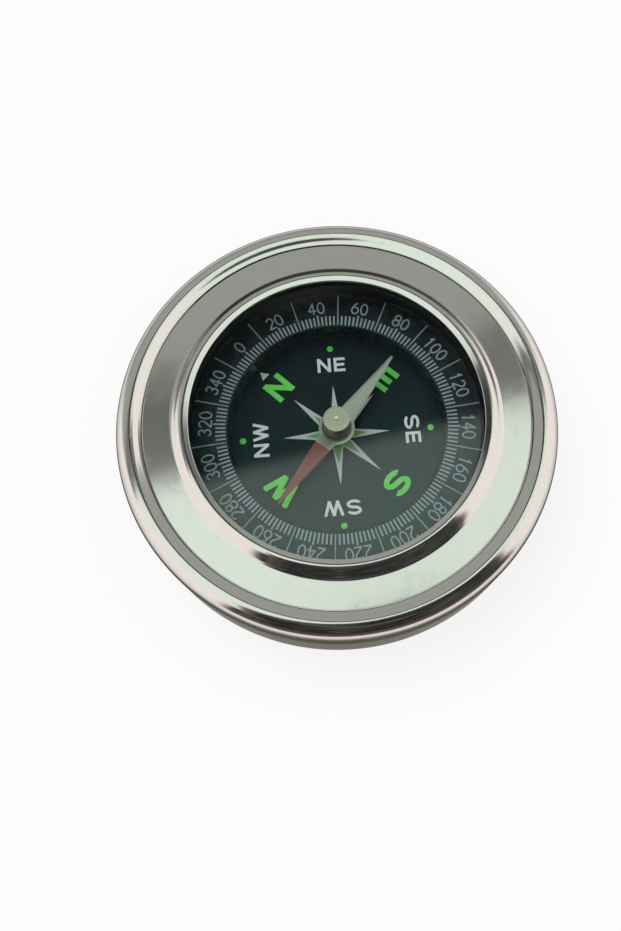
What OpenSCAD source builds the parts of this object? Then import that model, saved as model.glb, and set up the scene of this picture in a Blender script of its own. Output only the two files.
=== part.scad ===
// Pocket compass in a round metal case, lying face up.
// Z is up, the origin is the centre of the underside, and the dial's north points along +Y.
// All lengths are in millimetres, and heights are stacked upwards from the underside.

/* [Case] */
// Widest diameter of the case, across the rolled rim
rim_d = 60; // [58:0.5:70]
// Sheet thickness of the cover
cover_t = 0.4; // [0.3:0.05:0.5]
// Sheet thickness of the base cup
cup_t = 0.5; // [0.4:0.05:0.6]
// Outside radius of the base cup's bottom corner
cup_corner_r = 1.2; // [0.9:0.1:1.6]
// Outside radius of the cover's rolled rim
roll_r = 2.15; // [1.8:0.05:2.4]
// Height of the cover's skirt under the widest line of the rim
skirt_h = 1.95; // [1:0.05:2.5]

/* [Relief of the cover] */
// Width of the lip, from its edge to the crest of the inner bead
lip_w = 0.9; // [0.7:0.05:1.1]
// Tilt of the lip, in degrees
lip_tilt = 12; // [8:1:16]
// Width of the inner bead's outer slope
bead_w = 1.85; // [1.7:0.05:2.2]
// Height of the inner bead over the flat annulus
bead_h = 0.95; // [0.8:0.05:1.8]
// Width of the flat annulus between the inner bead and the rim
annulus_w = 3.5; // [2.6:0.1:3.8]
// Fall of the annulus towards its outer edge
annulus_fall = 0.15; // [0:0.05:0.8]
// Height of the crisp step at the outer edge of the annulus
step_h = 0.15; // [0.05:0.05:0.35]
// Width of the slope that climbs from the step to the rim's crest
rise_w = 1.7; // [1.4:0.05:2.1]
// Height of that slope
rise_h = 0.6; // [0.5:0.05:1.6]

/* [Window] */
// Thickness of the window
lens_t = 1.8; // [1.4:0.1:2]
// How far the window reaches under the cover's lip
lens_cover = 1.6; // [1.3:0.1:1.8]
// Width of the ledge that the window rests on
lens_ledge = 0.9; // [0.6:0.1:1.1]
// Thickness of the soft ring between the window and the lip
gasket_t = 0.35; // [0.25:0.05:0.5]
// Width of that ring
gasket_w = 0.9; // [0.6:0.1:1]

/* [Inside of the case] */
// Height of the moulded carrier under the dial
tray_h = 2.4; // [2.2:0.1:3.5]
// Thickness of the carrier's top plate
tray_plate_t = 1; // [0.8:0.1:1.2]
// Number of ribs under the carrier
tray_ribs = 8; // [4:1:12]
// Thickness of the dial
dial_t = 0.4; // [0.3:0.05:0.6]

/* [Scale ring] */
// Width of the raised scale ring
scale_w = 5.3; // [5:0.1:6]
// Height of the scale ring over the dial
scale_h = 3.85; // [3:0.05:4.4]
// Wall thickness of the scale ring
scale_wall = 0.9; // [0.7:0.05:1.2]
// Step of the degree marks, in degrees
tick_step = 2; // [2, 5]
// Length of a degree mark
tick_len = 1.45; // [1.2:0.05:1.6]
// Width of a degree mark
tick_w = 0.25; // [0.15:0.01:0.3]
// Height of the numbers
number_h = 1.95; // [1.6:0.05:2.1]

/* [Dial] */
// The print follows the dial: its sizes are shares of the radius that the scale ring leaves free
// Height of the four large letters
letter_h_share = 0.237; // [0.21:0.005:0.25]
// Radius to the foot of the four large letters
letter_foot_share = 0.618; // [0.6:0.005:0.63]
// Height of the small letter pairs
small_letter_h_share = 0.145; // [0.12:0.005:0.155]
// Radius to the foot of the small letter pairs
small_letter_foot_share = 0.645; // [0.62:0.005:0.67]
// Radius of the circle of dots
dot_circle_share = 0.888; // [0.87:0.005:0.91]
// Diameter of a dot
dot_d_share = 0.059; // [0.04:0.005:0.07]
// Radius to the four long tips of the compass rose
rose_tip_share = 0.54; // [0.5:0.005:0.58]
// Radius to the four short tips of the compass rose
rose_short_tip_share = 0.5; // [0.45:0.005:0.53]
// Radius to the tips of the green star inside the rose
inlay_tip_share = 0.295; // [0.25:0.005:0.34]

/* [Needle] */
// Direction of the plain, south-seeking arm as the needle lies, in degrees clockwise from north
needle_azimuth = 85.5; // [0:0.5:359.5]
// Gap between the needle's tips and the scale ring
needle_gap = 1.6; // [1.4:0.1:3]
// Thickness of the needle's blade
blade_t = 0.2; // [0.15:0.01:0.3]
// Height of the blade's underside over the dial
float_h = 2.65; // [2.5:0.05:2.8]
// Width of an arm at its root
arm_root_w = 2.7; // [2.2:0.1:3]
// Width of an arm at its tip
arm_tip_w = 0.4; // [0.3:0.05:0.6]
// Diameter of the blade's round centre
blade_disc_d = 5.1; // [4.8:0.1:5.6]
// Radius at which the red paint of the north-seeking arm begins
red_start_r = 3.35; // [3:0.05:4]
// Diameter of the hub
hub_d = 3.7; // [3.5:0.05:3.9]
// Height of the hub over the blade
hub_h = 3.6; // [3.4:0.05:3.7]
// Gap between the hub and the window
hub_gap = 0.45; // [0.4:0.05:1.5]

/* [Pivot] */
// Diameter of the pivot pin
pin_d = 0.9; // [0.7:0.05:1]
// Diameter of the jewel cup in the hub
jewel_d = 1.9; // [1.7:0.05:2]
// Height of the jewel cup
jewel_h = 0.8; // [0.7:0.05:0.9]
// Diameter of the post that carries the pin
post_d = 1.8; // [1.6:0.05:2]
// Height of the post over the dial
post_h = 1.1; // [0.9:0.05:1.5]

/* [Hidden] */

// Facets of the large rounds and of the small ones
$fn = 96;
small_fn = 32;
// Points along each curved stretch of an outline
curve_steps = 8;
// Points round each curve of a letter or number
glyph_steps = 10;
// Overrun of every cut
cut = 1;

// Gaps: between pressed pieces, round a dropped-in piece, and along the shut line of the case
seat_gap = 0.05;
drop_gap = 0.1;
shut_gap = 0.08;
// Thickness of a printed layer, of the luminous paint and of the needle's paint
ink_t = 0.04;
glow_t = 0.08;
paint_t = 0.04;

// Heights of the stack
tray_z = cup_t;
dial_z = tray_z + tray_h;
dial_top_z = dial_z + dial_t;
blade_z = dial_top_z + float_h;
blade_top_z = blade_z + blade_t;
hub_top_z = blade_top_z + hub_h;
lens_z = hub_top_z + hub_gap;
lens_top_z = lens_z + lens_t;
gasket_top_z = lens_top_z + gasket_t;
scale_top_z = dial_top_z + scale_h;

// Cover: radii and heights of its relief, and how far the crisp step leans for its height
rim_r = rim_d / 2;
roll_centre_r = rim_r - roll_r;
annulus_r = roll_centre_r - rise_w;
bead_foot_r = annulus_r - annulus_w;
crest_r = bead_foot_r - bead_w;
opening_r = crest_r - lip_w;
// The lip is straight, and only the part next to the crest is round
lip_round_share = 0.35;
lip_arc_r = lip_w * lip_round_share / sin(lip_tilt);
lip_arc_drop = lip_arc_r * (1 - cos(lip_tilt));
lip_drop = lip_arc_drop + lip_w * (1 - lip_round_share) * tan(lip_tilt);
crest_z = gasket_top_z + seat_gap + cover_t + lip_drop;
bead_foot_z = crest_z - bead_h;
annulus_z = bead_foot_z - annulus_fall;
rim_crest_z = annulus_z + step_h + rise_h;
roll_centre_z = rim_crest_z - roll_r;
skirt_z = roll_centre_z - skirt_h;
step_lean_share = 0.5;
hem_r = 0.12;

// Base cup: its wall is flush with the skirt, and its neck goes up inside the cover
cup_inset = 0.05;
cup_r = rim_r - cup_inset;
cup_in_r = cup_r - cup_t;
neck_r = rim_r - cover_t - seat_gap;
neck_in_r = neck_r - cup_t;
shoulder_z = skirt_z - shut_gap;
neck_top_z = roll_centre_z;

// Window, its soft ring and the wall that carries them
lens_r = opening_r + lens_cover;
lens_edge = 0.15;
gasket_inset = 0.2;
gasket_r = opening_r + gasket_inset;
spacer_in_r = lens_r - lens_ledge;
spacer_lip_in_r = lens_r + drop_gap;
spacer_lip_t = 0.5;
spacer_r = spacer_lip_in_r + spacer_lip_t;
spacer_lip_share = 0.4;
spacer_lip_z = lens_z + lens_t * spacer_lip_share;
spacer_flange_t = 1;

// Carrier: it stands on the flat of the cup's floor
tray_gap = 0.15;
tray_r = cup_r - cup_corner_r - tray_gap;
tray_rim_t = 1.4;
tray_boss_r = 2.6;
tray_rib_t = 1;

// Dial and scale ring drop into the bore of the wall round them
dial_r = spacer_in_r - drop_gap;
scale_r = spacer_in_r - drop_gap;
scale_in_r = scale_r - scale_w;
scale_edge = 0.15;
tick_margin = 0.3;
tick_r = scale_in_r + tick_margin;
// The marks at the numbered tens are a little longer
ten_extra = 0.3;
line_margin = 0.2;
line_w = 0.16;
line_end_r = scale_r - line_margin;
number_gap = 0.45;
number_r = tick_r + tick_len + number_gap;
number_step = 20;
// Width, pitch and stroke of a digit, as shares of its height
digit_w_share = 0.6;
digit_pitch_share = 0.67;
digit_stroke_share = 0.115;

// Strokes, widths and gap of the letters, as shares of their height
letter_h = scale_in_r * letter_h_share;
letter_r = scale_in_r * letter_foot_share;
letter_stroke_share = 0.225;
small_letter_h = scale_in_r * small_letter_h_share;
small_letter_r = scale_in_r * small_letter_foot_share;
small_stroke_share = 0.19;
letter_w_shares = [["N", 0.9], ["E", 0.76], ["S", 0.95], ["W", 1.24]];
small_gap_share = 0.2;
// The east and west letters are printed a little round from their places, in degrees
east_turn = -1.5;
west_turn = 2.2;
dot_circle_r = scale_in_r * dot_circle_share;
dot_d = scale_in_r * dot_d_share;
// Pointer at the north: its length and width, and the radius of its head
pointer_len_share = 0.079;
pointer_w_share = 0.092;
pointer_head_share = 0.98;
pointer_len = scale_in_r * pointer_len_share;
pointer_w = scale_in_r * pointer_w_share;
pointer_r = scale_in_r * pointer_head_share - pointer_len;

// Post: its collar clamps the dial, and the pin stands in its bore
post_r = post_d / 2;
post_collar_r = 1.55;
// Compass rose: the green star goes round the collar, and a white border goes round the green
rose_points = 8;
rose_tip_r = scale_in_r * rose_tip_share;
rose_short_tip_r = scale_in_r * rose_short_tip_share;
inlay_tip_r = scale_in_r * inlay_tip_share;
inlay_margin = 0.15;
rose_border = 0.25;
inlay_valley_r = post_collar_r + seat_gap + inlay_margin;
rose_valley_r = inlay_valley_r + rose_border;
post_collar_t = 0.4;
post_foot_gap = 0.2;
post_edge = 0.15;
post_z = tray_z + post_foot_gap;
post_top_z = dial_top_z + post_h;

// Needle: the hub's spigot goes through the blade and is peened under it
needle_r = scale_in_r - needle_gap;
hub_r = hub_d / 2;
hub_roof_t = 0.45;
hub_edge = 0.12;
hub_foot_w = 0.25;
hub_foot_h = 0.35;
jewel_gap = 0.1;
jewel_play = 0.2;
jewel_r = jewel_d / 2;
hub_bore_r = jewel_r + jewel_gap;
hub_bore_z = hub_top_z - hub_roof_t;
spigot_t = 0.2;
spigot_r = hub_bore_r + spigot_t;
spigot_fit = 0.02;
peen_w = 0.2;
peen_t = 0.13;
dimple_r = 0.28;
dimple_h = 0.12;
arm_root_r = 2.3;

// Pivot point: the pin's tip stands in the hollow of the jewel
jewel_z = hub_bore_z - jewel_play - jewel_h;
hollow_r = 0.36;
hollow_h = 0.37;
tip_gap = 0.02;
tip_z = jewel_z + hollow_h - tip_gap;
tip_r = 0.04;
pin_r = pin_d / 2;
pin_fit = 0.02;
pin_cone_h = 0.8;
pin_z = post_z + post_foot_gap;

// Points along an arc with its own radii in x and y
function arc(centre, radii, from, to, steps) =
    [for (i = [0:steps])
        let (a = from + (to - from) * i / steps)
        [centre.x + radii.x * cos(a), centre.y + radii.y * sin(a)]];

// Points of a smooth ramp that starts and ends level, without its first point
function ramp(from, to, steps) =
    [for (i = [1:steps])
        let (u = i / steps, v = (1 - cos(180 * u)) / 2)
        [from.x + (to.x - from.x) * u, from.y + (to.y - from.y) * v]];

function reversed(points) = [for (i = [len(points) - 1:-1:0]) points[i]];
function lowered(points, by) = [for (p = points) [p.x, p.y - by]];
function unit(v) = v / norm(v);
function across(v) = [-v.y, v.x];

// Direction across a path at its point i, lengthened at a bend so that the stroke keeps its width
function mitre(path, i) =
    let (before = unit(path[max(i, 1)] - path[max(i, 1) - 1]),
        after = unit(path[min(i, len(path) - 2) + 1] - path[min(i, len(path) - 2)]),
        m = unit(across(before) + across(after)))
    m / (m * across(before));

// Outline of a stroke of one width along a path
function stroke_outline(path, w) =
    concat([for (i = [0:len(path) - 1]) path[i] - mitre(path, i) * w / 2],
        [for (i = [len(path) - 1:-1:0]) path[i] + mitre(path, i) * w / 2]);

// Places in a letter's box: x runs from -1 to 1 and y from 0 to 1 along the strokes' middle lines
overshoot_share = 0.25;
stem_foot_share = -overshoot_share;
stem_head_share = 1 + overshoot_share;

// Closed ovals of each character, as [x, y, x radius, y radius]
function oval_shares(c) =
    c == "0" ? [[0, 0.5, 1, 0.5]]
    : c == "6" ? [[0, 0.31, 1, 0.31]]
    : c == "8" ? [[0, 0.76, 0.85, 0.24], [0, 0.26, 1, 0.26]]
    : [];

// Open bands of each character, as [x, y, x radius, y radius, from, to]
function band_shares(c) =
    c == "S" ? [[0, 0.75, 1, 0.25, 20, 275], [0, 0.25, 1, 0.25, -160, 95]]
    : [];

// Open strokes of each character
function stroke_shares(c) =
    c == "1" ? [[[0.15, stem_foot_share], [0.15, stem_head_share]], [[0.15, 0.98], [-0.5, 0.72]]]
    : c == "2" ? [concat(arc([0, 0.72], [0.95, 0.28], 165, -35, glyph_steps), [[-0.92, 0.02]]),
        [[-1, 0], [stem_head_share, 0]]]
    : c == "3" ? [arc([0, 0.76], [0.85, 0.24], 155, -90, glyph_steps),
        arc([0, 0.26], [0.98, 0.26], 90, -155, glyph_steps)]
    : c == "4" ? [[[0.45, stem_foot_share], [0.45, stem_head_share]], [[0.45, 1], [-1, 0.3]],
        [[-1, 0.3], [stem_head_share, 0.3]]]
    : c == "6" ? [arc([0.9, 0.2], [1.85, 0.8], 100, 175, glyph_steps)]
    : c == "N" ? [[[-1, stem_foot_share], [-1, stem_head_share]],
        [[1, stem_foot_share], [1, stem_head_share]],
        [[-1.1, 1.12], [1.1, -0.12]]]
    : c == "E" ? [[[-1, stem_foot_share], [-1, stem_head_share]], [[-1, 0], [1.5, 0]],
        [[-1, 0.5], [1.15, 0.5]], [[-1, 1], [1.5, 1]]]
    : c == "W" ? [[[-1.06, 1.14], [-0.46, -0.14]], [[-0.54, -0.14], [0.04, 1.14]],
        [[-0.04, 1.14], [0.54, -0.14]], [[0.46, -0.14], [1.06, 1.14]]]
    : [];

// A flat character, centred on x with its foot at y = 0
module character(c, h, w, stroke) {
    half_w = (w - stroke) / 2;
    line_h = h - stroke;
    intersection() {
        translate([-w / 2, 0])
            square([w, h]);
        translate([0, stroke / 2])
            difference() {
                union() {
                    ovals(c, half_w, line_h, stroke / 2);
                    for (band = band_shares(c)) {
                        open_band([band[0] * half_w, band[1] * line_h],
                            [band[2] * half_w, band[3] * line_h], band[4], band[5], stroke);
                    }
                    for (line = stroke_shares(c)) {
                        polygon(stroke_outline([for (p = line) [p.x * half_w, p.y * line_h]], stroke));
                    }
                }
                ovals(c, half_w, line_h, -stroke / 2);
            }
    }
}

// The closed ovals of a character, larger than their middle line by grow
module ovals(c, half_w, line_h, grow) {
    steps = 2 * glyph_steps;
    last = 360 - 360 / steps;
    for (oval = oval_shares(c)) {
        polygon(arc([oval[0] * half_w, oval[1] * line_h],
            [oval[2] * half_w + grow, oval[3] * line_h + grow], 0, last, steps - 1));
    }
}

module open_band(centre, radii, from, to, stroke) {
    polygon(concat(
        arc(centre, radii + [stroke, stroke] / 2, from, to, glyph_steps),
        reversed(arc(centre, radii - [stroke, stroke] / 2, from, to, glyph_steps))));
}

function letter_w(c, h) = h * letter_w_shares[search([c], letter_w_shares)[0]][1];

// Puts its children at a radius, in a direction counted clockwise from north, with their head outwards
module at_azimuth(azimuth, r) {
    rotate([0, 0, -azimuth])
        translate([0, r])
            children();
}

// A printed or painted layer on a face at height z
module layer(z, t) {
    translate([0, 0, z])
        linear_extrude(t)
            children();
}

module radial_mark(azimuth, from_r, to_r, w) {
    at_azimuth(azimuth, from_r)
        translate([-w / 2, 0])
            square([w, to_r - from_r]);
}

module star(tip_r, short_tip_r, valley_r) {
    polygon([for (i = [0:2 * rose_points - 1])
        let (a = 180 / rose_points * i,
            r = i % 4 == 0 ? tip_r : i % 4 == 2 ? short_tip_r : valley_r)
        [r * sin(a), r * cos(a)]]);
}

// Drawn metal cup: flat floor, rounded corner, upright wall and a neck that the cover is pressed over
module base_cup() {
    corner = [cup_r - cup_corner_r, cup_corner_r];
    in_corner_r = cup_corner_r - cup_t;
    color("silver")
        rotate_extrude()
            polygon(concat(
                [[0, 0]],
                arc(corner, [cup_corner_r, cup_corner_r], -90, 0, curve_steps),
                [[cup_r, shoulder_z], [neck_r, shoulder_z], [neck_r, neck_top_z],
                    [neck_in_r, neck_top_z], [neck_in_r, shoulder_z - cup_t],
                    [cup_in_r, shoulder_z - cup_t]],
                arc(corner, [in_corner_r, in_corner_r], 0, -90, curve_steps),
                [[0, cup_t]]));
}

// Pressed cover: lip, inner bead, flat annulus, crisp step, rolled rim and skirt
module bezel() {
    roll_centre = [roll_centre_r, roll_centre_z];
    roll_in_r = roll_r - cover_t;
    crest_arc = arc([crest_r, crest_z - lip_arc_r], [lip_arc_r, lip_arc_r], 90 + lip_tilt, 90, curve_steps);
    lip = concat([[opening_r, crest_z - lip_drop]], crest_arc);
    fall = ramp([crest_r, crest_z], [bead_foot_r, bead_foot_z], curve_steps);
    step_top = [annulus_r + step_h * step_lean_share, annulus_z + step_h];
    rise = ramp(step_top, [roll_centre_r, rim_crest_z], curve_steps);
    relief = concat(lip, fall, [[annulus_r, annulus_z], step_top], rise);
    under_relief = [for (p = lowered(relief, cover_t)) if (p.x < roll_centre_r) p];
    color("gainsboro")
        rotate_extrude()
            polygon(concat(
                [for (p = relief) if (p.x < roll_centre_r) p],
                arc(roll_centre, [roll_r, roll_r], 90, 0, curve_steps),
                [[rim_r, skirt_z + hem_r], [rim_r - hem_r, skirt_z], [rim_r - cover_t, skirt_z]],
                arc(roll_centre, [roll_in_r, roll_in_r], 0, 90, curve_steps),
                reversed(under_relief)));
}

module lens() {
    color("aliceblue", 0.3)
        rotate_extrude()
            polygon([[0, lens_z], [lens_r - lens_edge, lens_z], [lens_r, lens_z + lens_edge],
                [lens_r, lens_top_z - lens_edge], [lens_r - lens_edge, lens_top_z], [0, lens_top_z]]);
}

module lens_gasket() {
    color("black")
        rotate_extrude()
            translate([gasket_r, lens_top_z])
                square([gasket_w, gasket_t]);
}

// Wall that holds the window up, with a lip round the window and a flange out to the case
module spacer_ring() {
    color("black")
        rotate_extrude()
            polygon([[spacer_in_r, dial_z], [spacer_in_r, lens_z], [spacer_lip_in_r, lens_z],
                [spacer_lip_in_r, spacer_lip_z], [spacer_r, spacer_lip_z],
                [spacer_r, dial_z + spacer_flange_t], [tray_r, dial_z + spacer_flange_t],
                [tray_r, dial_z]]);
}

// Moulded carrier: a plate on a rim, a boss and ribs
module dial_tray() {
    color("dimgray")
        difference() {
            union() {
                translate([0, 0, dial_z - tray_plate_t])
                    cylinder(h = tray_plate_t, r = tray_r);
                translate([0, 0, tray_z])
                    cylinder(h = tray_h, r = tray_boss_r);
                translate([0, 0, tray_z])
                    difference() {
                        cylinder(h = tray_h, r = tray_r);
                        translate([0, 0, -cut])
                            cylinder(h = tray_h + 2 * cut, r = tray_r - tray_rim_t);
                    }
                for (i = [0:tray_ribs - 1]) {
                    rotate([0, 0, 360 / tray_ribs * i])
                        translate([tray_boss_r / 2, -tray_rib_t / 2, tray_z])
                            cube([tray_r - tray_rim_t / 2 - tray_boss_r / 2, tray_rib_t, tray_h]);
                }
            }
            translate([0, 0, tray_z - cut])
                cylinder(h = tray_h + 2 * cut, r = post_r + seat_gap, $fn = small_fn);
        }
}

module dial_plate() {
    color("black")
        translate([0, 0, dial_z])
            difference() {
                cylinder(h = dial_t, r = dial_r);
                translate([0, 0, -cut])
                    cylinder(h = dial_t + 2 * cut, r = post_r + seat_gap, $fn = small_fn);
            }
}

// Raised ring, hollow underneath as a moulding is
module scale_ring() {
    color([0.1, 0.11, 0.12])
        rotate_extrude()
            polygon([[scale_in_r, dial_top_z], [scale_in_r, scale_top_z - scale_edge],
                [scale_in_r + scale_edge, scale_top_z], [scale_r, scale_top_z],
                [scale_r, dial_top_z], [scale_r - scale_wall, dial_top_z],
                [scale_r - scale_wall, scale_top_z - scale_wall],
                [scale_in_r + scale_wall, scale_top_z - scale_wall],
                [scale_in_r + scale_wall, dial_top_z]]);
}

module scale_ticks() {
    color([0.6, 0.68, 0.74])
        layer(scale_top_z, ink_t)
            for (a = [0:tick_step:360 - tick_step]) {
                extra = a % number_step == 0 ? ten_extra : 0;
                if (a % number_step != number_step / 2) {
                    radial_mark(a, tick_r, tick_r + tick_len + extra, tick_w);
                }
            }
}

// Long thin lines that part the numbers
module scale_lines() {
    color([0.6, 0.68, 0.74])
        layer(scale_top_z, ink_t)
            for (a = [number_step / 2:number_step:360]) {
                radial_mark(a, tick_r, line_end_r, line_w);
            }
}

module scale_numerals() {
    color([0.6, 0.68, 0.74])
        layer(scale_top_z, ink_t)
            for (a = [0:number_step:360 - number_step]) {
                digits = str(a);
                for (i = [0:len(digits) - 1]) {
                    at_azimuth(a, number_r)
                        translate([(i - (len(digits) - 1) / 2) * number_h * digit_pitch_share, 0])
                            character(digits[i], number_h, number_h * digit_w_share,
                                number_h * digit_stroke_share);
                }
            }
}

module rose_star() {
    color([0.78, 0.82, 0.84])
        layer(dial_top_z, ink_t)
            difference() {
                star(rose_tip_r, rose_short_tip_r, rose_valley_r);
                star(inlay_tip_r, inlay_tip_r, inlay_valley_r);
            }
}

module rose_inlay() {
    color([0.43, 0.67, 0.37])
        layer(dial_top_z, ink_t)
            difference() {
                star(inlay_tip_r, inlay_tip_r, inlay_valley_r);
                circle(r = post_collar_r + seat_gap, $fn = small_fn);
            }
}

module large_letter(c, azimuth) {
    at_azimuth(azimuth, letter_r)
        character(c, letter_h, letter_w(c, letter_h), letter_h * letter_stroke_share);
}

module cardinal_letters() {
    color([0.35, 0.82, 0.29])
        layer(dial_top_z, glow_t) {
            large_letter("N", 0);
            large_letter("E", 90 + east_turn);
            large_letter("S", 180);
            large_letter("W", 270 + west_turn);
        }
}

module letter_pair(first, second, azimuth) {
    w1 = letter_w(first, small_letter_h);
    w2 = letter_w(second, small_letter_h);
    gap = small_letter_h * small_gap_share;
    stroke = small_letter_h * small_stroke_share;
    at_azimuth(azimuth, small_letter_r) {
        translate([-(w2 + gap) / 2, 0])
            character(first, small_letter_h, w1, stroke);
        translate([(w1 + gap) / 2, 0])
            character(second, small_letter_h, w2, stroke);
    }
}

module intercardinal_letters() {
    color([0.82, 0.86, 0.88])
        layer(dial_top_z, ink_t) {
            letter_pair("N", "E", 45);
            letter_pair("S", "E", 135);
            letter_pair("S", "W", 225);
            letter_pair("N", "W", 315);
        }
}

module luminous_dots() {
    color([0.43, 0.8, 0.37])
        layer(dial_top_z, glow_t)
            for (a = [45:90:315]) {
                at_azimuth(a, dot_circle_r)
                    circle(d = dot_d, $fn = small_fn);
            }
}

module north_pointer() {
    color([0.82, 0.86, 0.88])
        layer(dial_top_z, ink_t)
            at_azimuth(0, pointer_r)
                polygon([[-pointer_w / 2, 0], [pointer_w / 2, 0], [0, pointer_len]]);
}

// Turned brass post, pressed into the carrier from above
module pivot_post() {
    color("goldenrod")
        rotate_extrude($fn = small_fn)
            polygon([[pin_r + pin_fit, post_z], [post_r, post_z], [post_r, dial_top_z],
                [post_collar_r, dial_top_z], [post_collar_r, dial_top_z + post_collar_t],
                [post_r, dial_top_z + post_collar_t], [post_r, post_top_z - post_edge],
                [post_r - post_edge, post_top_z], [pin_r + pin_fit, post_top_z]]);
}

module pivot_pin() {
    color("gray")
        rotate_extrude($fn = small_fn)
            polygon([[0, pin_z], [pin_r, pin_z], [pin_r, tip_z - pin_cone_h], [tip_r, tip_z],
                [0, tip_z]]);
}

// Jewel with a hollow underneath that rides on the pin's point
module bearing_cup() {
    color("crimson")
        rotate_extrude($fn = small_fn)
            polygon([[hollow_r, jewel_z], [jewel_r, jewel_z], [jewel_r, jewel_z + jewel_h],
                [0, jewel_z + jewel_h], [0, jewel_z + hollow_h]]);
}

// Turned hub: dimpled top, foot on the blade, spigot through it and a peened edge under it
module needle_hub() {
    peen_r = spigot_r + peen_w;
    foot_r = hub_r + hub_foot_w;
    color("palegoldenrod")
        rotate_extrude($fn = small_fn)
            polygon([[hub_bore_r, blade_z - peen_t], [peen_r - peen_t / 2, blade_z - peen_t],
                [peen_r, blade_z], [spigot_r, blade_z], [spigot_r, blade_top_z],
                [foot_r, blade_top_z], [foot_r, blade_top_z + hub_foot_h],
                [hub_r, blade_top_z + hub_foot_h], [hub_r, hub_top_z - hub_edge],
                [hub_r - hub_edge, hub_top_z], [dimple_r, hub_top_z], [0, hub_top_z - dimple_h],
                [0, hub_bore_z], [hub_bore_r, hub_bore_z]]);
}

// Flat outline of one arm of the needle, pointing along +y
module arm() {
    tip_round = arm_tip_w / 2;
    polygon([[-arm_root_w / 2, arm_root_r], [arm_root_w / 2, arm_root_r],
        [tip_round, needle_r - tip_round], [-tip_round, needle_r - tip_round]]);
    translate([0, needle_r - tip_round])
        circle(r = tip_round, $fn = small_fn);
}

module needle_blade() {
    color("silver")
        layer(blade_z, blade_t)
            difference() {
                union() {
                    circle(d = blade_disc_d);
                    for (turn = [0, 180]) {
                        at_azimuth(needle_azimuth + turn, 0)
                            arm();
                    }
                    at_azimuth(needle_azimuth, 0)
                        square([arm_root_w, 2 * arm_root_r], center = true);
                }
                circle(r = spigot_r + spigot_fit, $fn = small_fn);
            }
}

module needle_red_coat() {
    color("indianred")
        layer(blade_top_z, paint_t)
            at_azimuth(needle_azimuth + 180, 0)
                intersection() {
                    arm();
                    translate([-arm_root_w / 2, red_start_r])
                        square([arm_root_w, needle_r]);
                }
}

base_cup();
bezel();
lens();
lens_gasket();
spacer_ring();
dial_tray();
dial_plate();
scale_ring();
scale_ticks();
scale_lines();
scale_numerals();
rose_star();
rose_inlay();
cardinal_letters();
intercardinal_letters();
luminous_dots();
north_pointer();
pivot_post();
pivot_pin();
bearing_cup();
needle_hub();
needle_blade();
needle_red_coat();
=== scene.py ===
"""Looks of a pocket compass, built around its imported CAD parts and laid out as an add-on."""

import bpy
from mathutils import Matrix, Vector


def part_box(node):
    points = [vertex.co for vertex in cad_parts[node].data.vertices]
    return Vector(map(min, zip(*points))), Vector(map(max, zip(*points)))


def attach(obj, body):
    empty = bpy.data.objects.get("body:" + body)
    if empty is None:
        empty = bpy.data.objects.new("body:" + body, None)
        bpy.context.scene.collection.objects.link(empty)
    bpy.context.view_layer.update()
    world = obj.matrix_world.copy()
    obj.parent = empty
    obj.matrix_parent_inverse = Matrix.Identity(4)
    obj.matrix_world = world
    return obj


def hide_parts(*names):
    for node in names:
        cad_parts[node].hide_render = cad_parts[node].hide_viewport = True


bl_info = {
    "name": "Pocket Compass",
    "version": (1, 0, 0),
    "blender": (4, 5, 0),
    "location": "3D View > Sidebar > Compass",
    "description": "Builds the case, window, dial, needle and studio of a pocket compass",
    "category": "Object",
}

import math

import bmesh
import bpy
from mathutils import Matrix, Vector

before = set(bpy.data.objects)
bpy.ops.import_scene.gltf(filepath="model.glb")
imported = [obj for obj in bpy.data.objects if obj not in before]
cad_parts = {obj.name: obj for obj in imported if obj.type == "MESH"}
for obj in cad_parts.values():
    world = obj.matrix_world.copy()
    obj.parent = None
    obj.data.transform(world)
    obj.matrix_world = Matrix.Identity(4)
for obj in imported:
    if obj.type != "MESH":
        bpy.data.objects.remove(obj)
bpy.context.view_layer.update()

MM = 0.001
TURN_STEPS = 320
SMALL_TURN_STEPS = 96
CURVE_STEPS = 20
CORNER_STEPS = 6
TIP_STEPS = 10
DISC_STEPS = 24
HOLE_SIDES = 60
DOT_SIDES = 40
DOT_COUNT = 4
SHARP_ANGLE = math.radians(32)

# How much further from a rounded corner its support points stand than the ends of its rounding
SUPPORT = 1.12

# Shares of the lip's flat, where its support point stands, and of the sheet, for the rounding of its edge
LIP_SUPPORT = 0.1
LIP_EDGE = 0.3

# How far the blade's round centre goes on under its arms, in degrees
DISC_OVERLAP = 2

# Small fits and roundings in millimetres
ON_AXIS = 1e-6
MERGE = 1e-5
NUDGE = 0.0001
SHOULDER_ROUND = 0.12
SOFT_RING_INSET = 0.2
SOFT_RING_ROUND = 0.1
WINDOW_SEAT_GAP = 0.1
WALL_ROUND = 0.08
DIAL_HOLE_GAP = 0.05
SCALE_ROUND = 0.05
HUB_FIT = 0.02
COAT_EDGE = 0.012
HUB_ROUND = 0.1
SPIGOT_FLARE = 0.2
SPIGOT_CHAMFER = 0.13
# Depth under the hub's top at which its painted shade starts: the side below is painted dark
HUB_PAINTED_SHADE_DEPTH = 0.13
START_STEP = 0.005
PIN_FIT = 0.02
POST_ROUND = 0.1
JEWEL_ROUND = 0.06

# Where the cover's polish ends on its outer side: heights and radii in millimetres
# Below and outside these, the cover takes the dark wall tone, which is partly a painted dark reflection
POLISH_HEIGHTS = (11.25, 11.75)
POLISH_RADII = (28.2, 28.6)

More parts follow.
